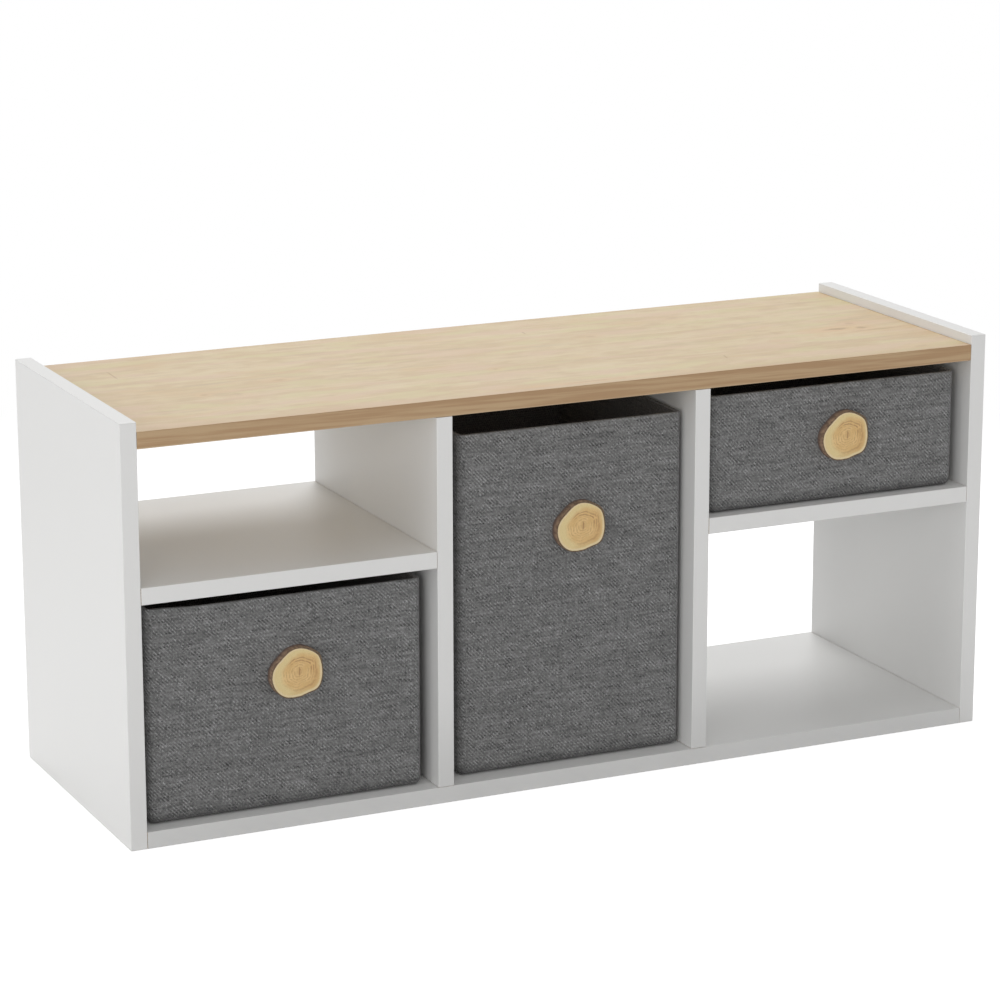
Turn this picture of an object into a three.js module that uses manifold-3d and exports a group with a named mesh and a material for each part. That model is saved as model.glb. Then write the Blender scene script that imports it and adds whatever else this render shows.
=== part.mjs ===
// Low open-backed tv stand: white boards, an oak-look top and three fabric bins with wooden knobs.
// Millimetres, +Z up. X runs along the width, -Y is the front.
// The origin is on the floor, under the middle of the cabinet.

import * as THREE from 'three';
import { mergeVertices } from 'three/addons/utils/BufferGeometryUtils.js';
import { ConvexGeometry } from 'three/addons/geometries/ConvexGeometry.js';
import Module from 'manifold-3d';

const wasm = await Module();
wasm.setup();

// Cabinet boards
const cabinet_width = 900;
const cabinet_depth = 300;
const cabinet_height = 400;
const board_thickness = 16;
const side_rise = 9;
const middle_bay_width = 254;
const shelf_top_height = 247;
const board_edge_radius = 0.6;
const board_joint_gap = 0.2;

// Fasteners, all hidden: each row has one fixing near the front edge and one near the back
const fixing_inset = 37;
const bore_clearance = 0.3;
const bore_spare_depth = 0.8;
const face_recess = 0.4;

const cam_radius = 7.5;
const cam_setback = 34;
const cam_cover = 3.2;
const cam_slot_length = 9;
const cam_slot_width = 1.8;
const cam_slot_depth = 1.5;

const cam_bolt_shaft_radius = 2.6;
const cam_bolt_thread_radius = 3;
const cam_bolt_thread_length = 10.5;
const cam_bolt_neck_radius = 1.9;
const cam_bolt_neck_length = 3.5;
const cam_bolt_head_radius = 3.3;
const cam_bolt_head_length = 3;

const dowel_radius = 4;
const dowel_length = 30;
const dowel_in_face = 11;
const dowel_chamfer = 0.8;

const screw_length = 50;
const screw_head_radius = 4.8;
const screw_head_rim = 1;
const screw_head_taper = 3;
const screw_shank_radius = 3.1;
const screw_shoulder = 1;
const screw_thread_radius = 2.5;
const screw_point_length = 3;
const screw_hex_radius = 2.2;
const screw_hex_depth = 2.2;

// Fabric bins: a bin fills its bay but for these gaps, and each stands a little differently
const bin_depth = 260;
const bin_floor_gap = 0.3;
const left_bin_gaps = { front: 15, left: 8, right: 10, above: 11 };
const middle_bin_gaps = { front: 20, left: 14.7, right: 3.7, above: 25 };
const right_bin_gaps = { front: 12, left: 7, right: 11, above: 11.8 };

const bin_corner_radius = 7;
const least_corner_radius = 0.5;
const cover_thickness = 1.5;
const card_thickness = 2;
const lining_thickness = 0.8;
const layer_gap = 0.3;
const base_board_thickness = 3;
const base_board_play = 1.5;
const base_board_corner_radius = 2;

// Knobs: slices of a branch, the same outline on each bin
const knob_thickness = 10;
const knob_edge_radius = 0.9;
const left_knob_place = { right: 6.5, drop: 72.7 };
const middle_knob_place = { right: 4.9, drop: 98.2 };
const right_knob_place = { right: 7.1, drop: 50.2 };
const knob_outline_steps = 34;
const knob_outline = [
  [5, 24], [-6, 22], [-16.5, 13.7], [-23.8, 5], [-25.4, -6], [-20.8, -16.6], [-12, -23.2],
  [0.5, -24.1], [11, -21.4], [21, -17.6], [25.2, -8.2], [25.2, 4.4], [22.4, 15.2], [12.4, 22],
];

const knob_screw_radius = 2;
const knob_screw_depth = 7;
const knob_screw_tip_radius = 1.2;
const knob_screw_tip_length = 1;
const knob_screw_head_radius = 5.5;
const knob_screw_head_length = 2;
const knob_screw_head_rim = 0.7;
const knob_screw_crown_radius = 3.6;
const knob_screw_slot_length = 5.5;
const knob_screw_slot_width = 1.2;
const knob_screw_slot_depth = 0.9;

// A cutting shape starts this far outside the face it cuts, and joined cuts share this much
const cut_over = 1;
const cut_seam = 0.01;

// How finely round shapes are faceted
const bore_sides = 12;
const rod_sides = 10;
const hex_sides = 6;
const corner_steps = 4;
const inner_corner_steps = 3;
const small_corner_steps = 2;

// Places that the boards share
const half_width = cabinet_width / 2;
const half_depth = cabinet_depth / 2;
const side_face = half_width - board_thickness;
const top_surface = cabinet_height - side_rise;
const top_underside = top_surface - board_thickness;
const bottom_surface = board_thickness;
const shelf_underside = shelf_top_height - board_thickness;
const divider_inner_face = middle_bay_width / 2;
const divider_outer_face = divider_inner_face + board_thickness;
const divider_middle = divider_inner_face + board_thickness / 2;
const fixing_rows = [-half_depth + fixing_inset, half_depth - fixing_inset];
const row_names = ['front', 'back'];

// The bin's wall, from the twill outside to the lining inside
const wall_stack = cover_thickness + layer_gap + card_thickness + layer_gap + lining_thickness;

const white_board = new THREE.MeshStandardMaterial({ color: 0xe6e6e3, roughness: 0.55, metalness: 0 });
const oak_board = new THREE.MeshStandardMaterial({ color: 0xd9bd8f, roughness: 0.5, metalness: 0 });
const zinc = new THREE.MeshStandardMaterial({ color: 0xa9abad, roughness: 0.4, metalness: 1 });
const steel = new THREE.MeshStandardMaterial({ color: 0xb8babd, roughness: 0.35, metalness: 1 });
const beech = new THREE.MeshStandardMaterial({ color: 0xd8b98a, roughness: 0.7, metalness: 0 });
const grey_twill = new THREE.MeshStandardMaterial({ color: 0x666768, roughness: 0.95, metalness: 0 });
const black_felt = new THREE.MeshStandardMaterial({ color: 0x1d1c1b, roughness: 0.95, metalness: 0 });
const grey_card = new THREE.MeshStandardMaterial({ color: 0x9a9184, roughness: 0.9, metalness: 0 });
const branch_wood = new THREE.MeshStandardMaterial({ color: 0xd2ab70, roughness: 0.65, metalness: 0 });

// A closed solid from a three.js geometry, ready to be joined and cut.
function solid(geometry) {
  const bare = geometry.clone();
  bare.deleteAttribute('normal');
  bare.deleteAttribute('uv');
  const merged = mergeVertices(bare, 1e-4);
  return new wasm.Manifold(new wasm.Mesh({
    numProp: 3,
    vertProperties: new Float32Array(merged.attributes.position.array),
    triVerts: new Uint32Array(merged.index.array),
  }));
}

// The geometry of a solid.
function geometry_of(body) {
  const mesh = body.getMesh();
  const geometry = new THREE.BufferGeometry();
  geometry.setAttribute('position', new THREE.BufferAttribute(new Float32Array(mesh.vertProperties), 3));
  geometry.setIndex(new THREE.BufferAttribute(new Uint32Array(mesh.triVerts), 1));
  geometry.computeVertexNormals();
  return geometry;
}

// A named mesh, standing at a place in its group.
function piece(name, body, material, place = [0, 0, 0]) {
  const mesh = new THREE.Mesh(geometry_of(body), material.clone());
  mesh.name = name;
  mesh.position.set(...place);
  return mesh;
}

// A box from its low corner to its high corner, with every edge rounded to one radius.
function eased_box(low, high, radius, steps) {
  const points = [];
  for (let corner = 0; corner < 8; corner++) {
    const sides = [corner & 1, (corner >> 1) & 1, (corner >> 2) & 1];
    const signs = sides.map((side) => (side ? 1 : -1));
    const centre = sides.map((side, axis) => (side ? high[axis] - radius : low[axis] + radius));
    for (let rise = 0; rise <= steps; rise++) {
      const tilt = (rise / steps) * (Math.PI / 2);
      for (let turn = 0; turn <= steps; turn++) {
        const angle = (turn / steps) * (Math.PI / 2);
        points.push(new THREE.Vector3(
          centre[0] + signs[0] * radius * Math.cos(tilt) * Math.cos(angle),
          centre[1] + signs[1] * radius * Math.cos(tilt) * Math.sin(angle),
          centre[2] + signs[2] * radius * Math.sin(tilt),
        ));
      }
    }
  }
  return solid(new ConvexGeometry(points));
}

// A plain block from its low corner to its high corner.
function block(low, high) {
  const size = high.map((value, axis) => value - low[axis]);
  const geometry = new THREE.BoxGeometry(...size);
  geometry.translate(...low.map((value, axis) => value + size[axis] / 2));
  return solid(geometry);
}

// A rounded box with its floor edges rounded too, and its top cut off flat.
function flat_topped_box(low, high, radius, steps) {
  const rounded = eased_box(low, [high[0], high[1], high[2] + 2 * radius], radius, steps);
  const above = block(
    [low[0] - cut_over, low[1] - cut_over, high[2]],
    [high[0] + cut_over, high[1] + cut_over, high[2] + 3 * radius],
  );
  return rounded.subtract(above);
}

// An upright prism whose four upright edges are rounded.
function rounded_prism(low, high, radius, steps) {
  const outline = new THREE.Shape();
  outline.absarc(high[0] - radius, high[1] - radius, radius, 0, Math.PI / 2);
  outline.absarc(low[0] + radius, high[1] - radius, radius, Math.PI / 2, Math.PI);
  outline.absarc(low[0] + radius, low[1] + radius, radius, Math.PI, Math.PI * 1.5);
  outline.absarc(high[0] - radius, low[1] + radius, radius, Math.PI * 1.5, Math.PI * 2);
  outline.closePath();
  const height = high[2] - low[2];
  const settings = { depth: height, bevelEnabled: false, curveSegments: steps };
  const geometry = new THREE.ExtrudeGeometry(outline, settings);
  geometry.translate(0, 0, low[2]);
  return solid(geometry);
}

// A round bar that starts at a point and runs along X, Y or Z; a negative length runs the other way.
function round_bar(axis, start, length, radius, sides = bore_sides, end_radius = radius) {
  const geometry = new THREE.CylinderGeometry(end_radius, radius, Math.abs(length), sides);
  geometry.translate(0, Math.abs(length) / 2, 0);
  if (length < 0) {
    geometry.rotateX(Math.PI);
  }
  if (axis === 'x') {
    geometry.rotateZ(-Math.PI / 2);
  }
  if (axis === 'z') {
    geometry.rotateX(Math.PI / 2);
  }
  geometry.translate(...start);
  return solid(geometry);
}

// A bore from its mouth to its depth along X, Y or Z; a negative depth runs the other way.
function bore(axis, mouth, depth, radius, sides = bore_sides) {
  const outside = Math.sign(depth) * cut_over;
  const start = [...mouth];
  start['xyz'.indexOf(axis)] -= outside;
  return round_bar(axis, start, depth + outside, radius, sides);
}

// A turned piece: its profile holds radius and height pairs, from the axis back to the axis, upwards.
function turned(profile, sides = rod_sides) {
  const points = profile.map(([radius, height]) => new THREE.Vector2(radius, height));
  const geometry = new THREE.LatheGeometry(points, sides);
  geometry.rotateX(Math.PI / 2);
  return solid(geometry);
}

// Cam sets: a bolt in a side board, whose head a cam lock in the end of a level board draws in.
// The bolt lies along X; its own +Z points away from the side board before it is turned.
const cam_height = board_thickness - cam_cover - face_recess;
const cam_bore_depth = cam_height + face_recess + bore_clearance;
const cam_bolt_reach = cam_setback + cam_bolt_head_length / 2;
const cam_channel_radius = cam_bolt_head_radius + bore_clearance;

function cam_bolt() {
  const neck_start = cam_bolt_reach - cam_bolt_head_length - cam_bolt_neck_length;
  const head_start = cam_bolt_reach - cam_bolt_head_length;
  return turned([
    [0, -cam_bolt_thread_length],
    [cam_bolt_thread_radius, -cam_bolt_thread_length],
    [cam_bolt_thread_radius, 0],
    [cam_bolt_shaft_radius, 0],
    [cam_bolt_shaft_radius, neck_start],
    [cam_bolt_neck_radius, neck_start],
    [cam_bolt_neck_radius, head_start],
    [cam_bolt_head_radius, head_start],
    [cam_bolt_head_radius, cam_bolt_reach],
    [0, cam_bolt_reach],
  ]);
}

// The lock stands on z = 0 with its driver cross below and its channel open towards +X.
function cam_lock() {
  const channel_start = [-cam_bolt_head_length / 2 - bore_clearance, 0, board_thickness / 2 - face_recess];
  const body = round_bar('z', [0, 0, 0], cam_height, cam_radius);
  const channel = round_bar('x', channel_start, cam_radius * 2, cam_channel_radius, rod_sides);
  const half_length = cam_slot_length / 2;
  const half_slot = cam_slot_width / 2;
  const slot = block([-half_length, -half_slot, -cut_over], [half_length, half_slot, cam_slot_depth]);
  const cross = block([-half_slot, -half_length, -cut_over], [half_slot, half_length, cam_slot_depth]);
  return body.subtract(channel).subtract(slot).subtract(cross);
}

// Bores for the cam sets of one level board, from its underside and from its end.
function cam_bores(side, underside) {
  const middle = underside + board_thickness / 2;
  const bores = [];
  for (const row of fixing_rows) {
    const lock_x = side * (side_face - cam_setback);
    bores.push(bore('z', [lock_x, row, underside], cam_bore_depth, cam_radius + bore_clearance));
    bores.push(bore('x', [side * side_face, row, middle], -side * cam_setback, cam_channel_radius));
  }
  return bores;
}

// Bores for the cam bolts in a side board, seen from inside the cabinet.
function bolt_bores(side, middle) {
  const depth = cam_bolt_thread_length + bore_spare_depth;
  const radius = cam_bolt_thread_radius + bore_clearance;
  return fixing_rows.map((row) => bore('x', [side * side_face, row, middle], side * depth, radius));
}

// Dowels: the shorter end sits in a board's face, the longer one in the end of the board that meets it.
function dowel() {
  return turned([
    [0, 0],
    [dowel_radius - dowel_chamfer, 0],
    [dowel_radius, dowel_chamfer],
    [dowel_radius, dowel_length - dowel_chamfer],
    [dowel_radius - dowel_chamfer, dowel_length],
    [0, dowel_length],
  ]);
}

const dowel_bore_radius = dowel_radius + bore_clearance;
const dowel_face_depth = dowel_in_face + bore_spare_depth;
const dowel_end_depth = dowel_length - dowel_in_face + bore_spare_depth;

function dowel_bores(axis, mouths, depth) {
  return mouths.map((mouth) => bore(axis, mouth, depth, dowel_bore_radius));
}

// Screws from below, through the bottom board into the dividers.
function divider_screw() {
  const body = turned([
    [0, 0],
    [screw_head_radius, 0],
    [screw_head_radius, screw_head_rim],
    [screw_shank_radius, screw_head_rim + screw_head_taper],
    [screw_shank_radius, board_thickness - face_recess - screw_shoulder],
    [screw_thread_radius, board_thickness - face_recess],
    [screw_thread_radius, screw_length - screw_point_length],
    [0, screw_length],
  ]);
  return body.subtract(bore('z', [0, 0, 0], screw_hex_depth, screw_hex_radius, hex_sides));
}

function screw_bores_in_bottom(x) {
  const head_radius = screw_head_radius + bore_clearance;
  const shank_radius = screw_shank_radius + bore_clearance;
  const rim = face_recess + screw_head_rim + bore_clearance;
  const bores = [];
  for (const row of fixing_rows) {
    const taper_start = [x, row, rim - cut_seam];
    bores.push(bore('z', [x, row, 0], board_thickness + cut_over, shank_radius));
    bores.push(bore('z', [x, row, 0], rim, head_radius));
    bores.push(round_bar('z', taper_start, screw_head_taper, head_radius, bore_sides, shank_radius));
  }
  return bores;
}

function screw_bores_in_divider(x) {
  const depth = screw_length + face_recess - bottom_surface + bore_spare_depth;
  const radius = screw_thread_radius + bore_clearance;
  return fixing_rows.map((row) => bore('z', [x, row, bottom_surface], depth, radius));
}

// A board between two corners in the cabinet, with its bores cut, placed by its own centre.
function board(name, low, high, bores, material) {
  let body = eased_box(low, high, board_edge_radius, small_corner_steps);
  for (const cut of bores) {
    body = body.subtract(cut);
  }
  const centre = low.map((value, axis) => (value + high[axis]) / 2);
  const mesh = piece(name, body, material);
  mesh.geometry.translate(...centre.map((value) => -value));
  mesh.position.set(...centre);
  return mesh;
}

const cabinet = new THREE.Group();

// Side boards, with bolts for the top and the bottom and dowels for the shelf
const shelf_middle = shelf_underside + board_thickness / 2;
const top_middle = top_underside + board_thickness / 2;
const bottom_middle = board_thickness / 2;
for (const [name, side] of [['side_left', -1], ['side_right', 1]]) {
  const faces = [side * side_face, side * half_width].sort((a, b) => a - b);
  const shelf_mouths = fixing_rows.map((row) => [side * side_face, row, shelf_middle]);
  const bores = [
    ...bolt_bores(side, top_middle),
    ...bolt_bores(side, bottom_middle),
    ...dowel_bores('x', shelf_mouths, side * dowel_face_depth),
  ];
  const low = [faces[0], -half_depth, 0];
  const high = [faces[1], half_depth, cabinet_height];
  cabinet.add(board(name, low, high, bores, white_board));
}

// Top board, between the sides and a little lower than they are
const level_end = side_face - board_joint_gap;
const divider_mouths = [];
for (const x of [-divider_middle, divider_middle]) {
  for (const row of fixing_rows) {
    divider_mouths.push([x, row, top_underside]);
  }
}
cabinet.add(board(
  'top_board',
  [-level_end, -half_depth, top_underside],
  [level_end, half_depth, top_surface],
  [
    ...cam_bores(-1, top_underside),
    ...cam_bores(1, top_underside),
    ...dowel_bores('z', divider_mouths, dowel_face_depth),
  ],
  oak_board,
));

// Bottom board, flat on the floor between the sides
cabinet.add(board(
  'bottom_board',
  [-level_end, -half_depth, 0],
  [level_end, half_depth, bottom_surface],
  [
    ...cam_bores(-1, 0),
    ...cam_bores(1, 0),
    ...screw_bores_in_bottom(-divider_middle),
    ...screw_bores_in_bottom(divider_middle),
  ],
  white_board,
));

// Dividers, each with a shelf on its outer side
for (const [name, side] of [['divider_left', -1], ['divider_right', 1]]) {
  const faces = [side * divider_inner_face, side * divider_outer_face].sort((a, b) => a - b);
  const x = side * divider_middle;
  const upper_end = top_underside - board_joint_gap;
  const upper_mouths = fixing_rows.map((row) => [x, row, upper_end]);
  const shelf_mouths = fixing_rows.map((row) => [side * divider_outer_face, row, shelf_middle]);
  const bores = [
    ...screw_bores_in_divider(x),
    ...dowel_bores('z', upper_mouths, -dowel_end_depth),
    ...dowel_bores('x', shelf_mouths, -side * dowel_face_depth),
  ];
  const low = [faces[0], -half_depth, bottom_surface + board_joint_gap];
  const high = [faces[1], half_depth, upper_end];
  cabinet.add(board(name, low, high, bores, white_board));
}

// Shelves, from a side board to the divider next to it
for (const [name, side] of [['shelf_left', -1], ['shelf_right', 1]]) {
  const outer_end = side * level_end;
  const inner_end = side * (divider_outer_face + board_joint_gap);
  const ends = [outer_end, inner_end].sort((a, b) => a - b);
  const outer_mouths = fixing_rows.map((row) => [outer_end, row, shelf_middle]);
  const inner_mouths = fixing_rows.map((row) => [inner_end, row, shelf_middle]);
  const bores = [
    ...dowel_bores('x', outer_mouths, -side * dowel_end_depth),
    ...dowel_bores('x', inner_mouths, side * dowel_end_depth),
  ];
  const low = [ends[0], -half_depth, shelf_underside];
  const high = [ends[1], half_depth, shelf_top_height];
  cabinet.add(board(name, low, high, bores, white_board));
}

// Cam locks and bolts at the four ends of the top and bottom boards
for (const [level, underside] of [['top', top_underside], ['bottom', 0]]) {
  for (const [hand, side] of [['left', -1], ['right', 1]]) {
    fixing_rows.forEach((row, index) => {
      const ending = `${level}_${hand}_${row_names[index]}`;
      const lock_x = side * (side_face - cam_setback);
      const lock = piece(`cam_lock_${ending}`, cam_lock(), zinc, [lock_x, row, underside + face_recess]);
      lock.rotation.z = side > 0 ? 0 : Math.PI;
      cabinet.add(lock);
      const middle = underside + board_thickness / 2;
      const bolt = piece(`cam_bolt_${ending}`, cam_bolt(), steel, [side * side_face, row, middle]);
      bolt.rotation.y = -side * (Math.PI / 2);
      cabinet.add(bolt);
    });
  }
}

// Dowels between the shelves and what carries them, and between the dividers and the top board
for (const [hand, side] of [['left', -1], ['right', 1]]) {
  fixing_rows.forEach((row, index) => {
    const row_name = row_names[index];
    const in_side = piece(`dowel_side_${hand}_${row_name}`, dowel(), beech,
      [side * (side_face + dowel_in_face), row, shelf_middle]);
    in_side.rotation.y = -side * (Math.PI / 2);
    const in_divider = piece(`dowel_divider_${hand}_${row_name}`, dowel(), beech,
      [side * (divider_outer_face - dowel_in_face), row, shelf_middle]);
    in_divider.rotation.y = side * (Math.PI / 2);
    const in_top = piece(`dowel_top_${hand}_${row_name}`, dowel(), beech,
      [side * divider_middle, row, top_underside + dowel_in_face]);
    in_top.rotation.y = Math.PI;
    const screw = piece(`screw_divider_${hand}_${row_name}`, divider_screw(), steel,
      [side * divider_middle, row, face_recess]);
    cabinet.add(in_side, in_divider, in_top, screw);
  });
}

// One slice of a branch, its face towards -Y and its back on y = 0, with a blind hole for its screw.
function knob() {
  const points = knob_outline.map(([x, z]) => new THREE.Vector3(x, z, 0));
  const curve = new THREE.CatmullRomCurve3(points, true, 'centripetal');
  const outline = curve.getPoints(knob_outline_steps).slice(0, -1);
  const shape = new THREE.Shape(outline.map((point) => new THREE.Vector2(point.x, point.y)));
  const geometry = new THREE.ExtrudeGeometry(shape, {
    depth: knob_thickness - 2 * knob_edge_radius,
    bevelThickness: knob_edge_radius,
    bevelSize: knob_edge_radius,
    bevelOffset: -knob_edge_radius,
    bevelSegments: 2,
  });
  geometry.translate(0, 0, knob_edge_radius);
  geometry.rotateX(Math.PI / 2);
  const hole_depth = knob_screw_depth + bore_spare_depth;
  return solid(geometry).subtract(bore('y', [0, 0, 0], -hole_depth, knob_screw_radius + bore_clearance));
}

// The knob's screw: its flanged head lies inside the bin, and its point reaches towards -Y.
function knob_screw(grip) {
  const body = turned([
    [0, -grip],
    [knob_screw_tip_radius, -grip],
    [knob_screw_radius, knob_screw_tip_length - grip],
    [knob_screw_radius, 0],
    [knob_screw_head_radius, 0],
    [knob_screw_head_radius, knob_screw_head_rim],
    [knob_screw_crown_radius, knob_screw_head_length],
    [0, knob_screw_head_length],
  ]);
  const half_length = knob_screw_slot_length / 2;
  const half_slot = knob_screw_slot_width / 2;
  const slot_floor = knob_screw_head_length - knob_screw_slot_depth;
  const slot_top = knob_screw_head_length + cut_over;
  const slot = block([-half_length, -half_slot, slot_floor], [half_length, half_slot, slot_top]);
  const cross = block([-half_slot, -half_length, slot_floor], [half_slot, half_length, slot_top]);
  return body.subtract(slot).subtract(cross);
}

// The corner radius of a layer that lies this far inside the bin's outer face.
function corner_radius(inset) {
  return Math.max(bin_corner_radius - inset, least_corner_radius);
}

// One bin: twill cover with a turned-in hem, card sleeve, lining, loose base board, knob and screw.
// Its group stands on the bay's floor, at the middle of the bin's width, level with its front face.
function fabric_bin(hand, bay, gaps, knob_place) {
  const width = bay.right - bay.left - gaps.left - gaps.right;
  const height = bay.ceiling - gaps.above - bay.floor - bin_floor_gap;
  const group = new THREE.Group();
  const middle = (bay.left + gaps.left + bay.right - gaps.right) / 2;
  group.position.set(middle, gaps.front - half_depth, bay.floor + bin_floor_gap);

  const inset_low = (inset, z) => [inset - width / 2, inset, z];
  const inset_high = (inset, z) => [width / 2 - inset, bin_depth - inset, z];
  const knob_right = knob_place.right;
  const knob_height = height - knob_place.drop;
  const screw_hole = bore('y', [knob_right, 0, knob_height], wall_stack + cut_over,
    knob_screw_radius + bore_clearance, rod_sides);

  const hem_underside = height - cover_thickness;
  const card_inset = cover_thickness + layer_gap;
  const lining_inset = card_inset + card_thickness + layer_gap;
  const lining_floor = cover_thickness + layer_gap;
  const base_floor = lining_floor + lining_thickness + layer_gap;
  const base_inset = wall_stack + base_board_play;

  const cover = flat_topped_box(inset_low(0, 0), inset_high(0, height), corner_radius(0), corner_steps)
    .subtract(flat_topped_box(
      inset_low(cover_thickness, cover_thickness),
      inset_high(cover_thickness, hem_underside),
      corner_radius(cover_thickness),
      inner_corner_steps,
    ))
    .subtract(rounded_prism(
      inset_low(wall_stack, hem_underside - cut_over),
      inset_high(wall_stack, height + cut_over),
      corner_radius(wall_stack),
      inner_corner_steps,
    ))
    .subtract(screw_hole);
  group.add(piece(`bin_${hand}_cover`, cover, grey_twill));

  const card_low = bin_corner_radius;
  const card = rounded_prism(
    inset_low(card_inset, card_low),
    inset_high(card_inset, hem_underside - layer_gap),
    corner_radius(card_inset),
    inner_corner_steps,
  )
    .subtract(rounded_prism(
      inset_low(card_inset + card_thickness, card_low - cut_over),
      inset_high(card_inset + card_thickness, height),
      corner_radius(card_inset + card_thickness),
      inner_corner_steps,
    ))
    .subtract(screw_hole);
  group.add(piece(`bin_${hand}_card_sleeve`, card, grey_card));

  const lining = flat_topped_box(
    inset_low(lining_inset, lining_floor),
    inset_high(lining_inset, hem_underside - layer_gap),
    corner_radius(lining_inset),
    inner_corner_steps,
  )
    .subtract(flat_topped_box(
      inset_low(wall_stack, lining_floor + lining_thickness),
      inset_high(wall_stack, height),
      corner_radius(wall_stack),
      inner_corner_steps,
    ))
    .subtract(screw_hole);
  group.add(piece(`bin_${hand}_lining`, lining, black_felt));

  const base_board = rounded_prism(
    inset_low(base_inset, base_floor),
    inset_high(base_inset, base_floor + base_board_thickness),
    base_board_corner_radius,
    small_corner_steps,
  );
  group.add(piece(`bin_${hand}_base_board`, base_board, black_felt));

  group.add(piece(`bin_${hand}_knob`, knob(), branch_wood, [knob_right, -layer_gap, knob_height]));

  const head_seat = wall_stack + layer_gap;
  const screw = piece(`bin_${hand}_knob_screw`, knob_screw(head_seat + layer_gap + knob_screw_depth), steel,
    [knob_right, head_seat, knob_height]);
  screw.rotation.x = -Math.PI / 2;
  group.add(screw);
  return group;
}

cabinet.add(
  fabric_bin(
    'left',
    { left: -side_face, right: -divider_outer_face, floor: bottom_surface, ceiling: shelf_underside },
    left_bin_gaps,
    left_knob_place,
  ),
  fabric_bin(
    'middle',
    { left: -divider_inner_face, right: divider_inner_face, floor: bottom_surface, ceiling: top_underside },
    middle_bin_gaps,
    middle_knob_place,
  ),
  fabric_bin(
    'right',
    { left: divider_outer_face, right: side_face, floor: shelf_top_height, ceiling: top_underside },
    right_bin_gaps,
    right_knob_place,
  ),
);

export default cabinet;
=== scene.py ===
# A low tv stand: five white boards and two shelves, an oak-look top and three fabric bins.
# Metres, +Z up, the front towards -Y, the origin on the floor under the middle of the stand.

import math

import bmesh
import bpy
from mathutils import Matrix, Vector, noise


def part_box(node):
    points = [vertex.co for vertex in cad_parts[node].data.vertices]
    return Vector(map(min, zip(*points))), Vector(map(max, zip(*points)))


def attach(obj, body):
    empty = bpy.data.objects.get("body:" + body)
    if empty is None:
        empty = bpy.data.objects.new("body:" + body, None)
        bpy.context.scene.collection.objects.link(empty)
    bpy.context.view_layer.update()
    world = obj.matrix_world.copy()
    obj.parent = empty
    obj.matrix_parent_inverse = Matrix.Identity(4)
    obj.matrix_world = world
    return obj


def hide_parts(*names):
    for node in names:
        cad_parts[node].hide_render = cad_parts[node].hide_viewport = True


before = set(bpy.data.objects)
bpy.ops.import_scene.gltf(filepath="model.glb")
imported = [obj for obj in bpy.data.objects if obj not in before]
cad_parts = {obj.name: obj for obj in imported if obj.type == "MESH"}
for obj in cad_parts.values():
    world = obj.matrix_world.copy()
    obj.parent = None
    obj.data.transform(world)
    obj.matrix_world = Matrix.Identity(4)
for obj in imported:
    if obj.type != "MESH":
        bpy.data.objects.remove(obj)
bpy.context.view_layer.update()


# Camera
# The stand is seen from its left front corner, from a little above its top,
# through a long lens that stands well back.

bpy.ops.object.select_all(action="DESELECT")
bpy.ops.object.camera_add(location=(-1.45273, -3.08143, 1.12399))
camera = bpy.context.object
camera.name = "photo_camera"
turn_to_right = Matrix.Rotation(math.radians(-25.111), 4, "Z")
tilt_down = Matrix.Rotation(math.radians(90 - 14.451), 4, "X")
level = Matrix.Rotation(math.radians(-0.07), 4, "Z")
camera.matrix_world = Matrix.Translation(camera.location) @ turn_to_right @ tilt_down @ level
camera.data.sensor_fit = "AUTO"
camera.data.sensor_width = 36
camera.data.lens = 129.06
camera.data.clip_start = 0.1
camera.data.clip_end = 60
bpy.context.scene.camera = camera


# Side boards
# 16 mm chipboard faced with white melamine paper, its long edges closed with a 1 mm white band.
# They stand on the floor and rise 9 mm above the top; bolts and dowels go into their inner faces.

class Value:
    """A number, colour or direction that varies over a surface: the socket that gives it."""

    def __init__(self, finish, socket):
        self.finish = finish
        self.socket = socket

    def worked(self, operation, *terms):
        return self.finish.node("ShaderNodeMath", {"operation": operation}, dict(enumerate(terms)))

    def __add__(self, other):
        return self.worked("ADD", self, other)

    def __radd__(self, other):
        return self.worked("ADD", other, self)

    def __sub__(self, other):
        return self.worked("SUBTRACT", self, other)

    def __rsub__(self, other):
        return self.worked("SUBTRACT", other, self)

    def __mul__(self, other):
        return self.worked("MULTIPLY", self, other)

    def __truediv__(self, other):
        return self.worked("DIVIDE", self, other)

    def __mod__(self, other):
        return self.worked("FLOORED_MODULO", self, other)

    def __pow__(self, other):
        return self.worked("POWER", self, other)

    def __abs__(self):
        return self.worked("ABSOLUTE", self)

    def angle(self, other):
        """The direction of a point that lies this far and the other value away, in radians."""
        return self.worked("ARCTAN2", self, other)

    def floor(self):
        return self.worked("FLOOR", self)

    def sine(self):
        return self.worked("SINE", self)

    def above(self, edge):
        return self.worked("GREATER_THAN", self, edge)

    def lesser(self, other):
        return self.worked("MINIMUM", self, other)

    def greater(self, other):
        return self.worked("MAXIMUM", self, other)

    def rise(self, start, end):
        """0 up to start, 1 from end, and a smooth slope between them; start may be the larger."""
        settings = {"interpolation_type": "SMOOTHSTEP"}
        return self.finish.node("ShaderNodeMapRange", settings, {0: self, 1: start, 2: end})


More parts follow.
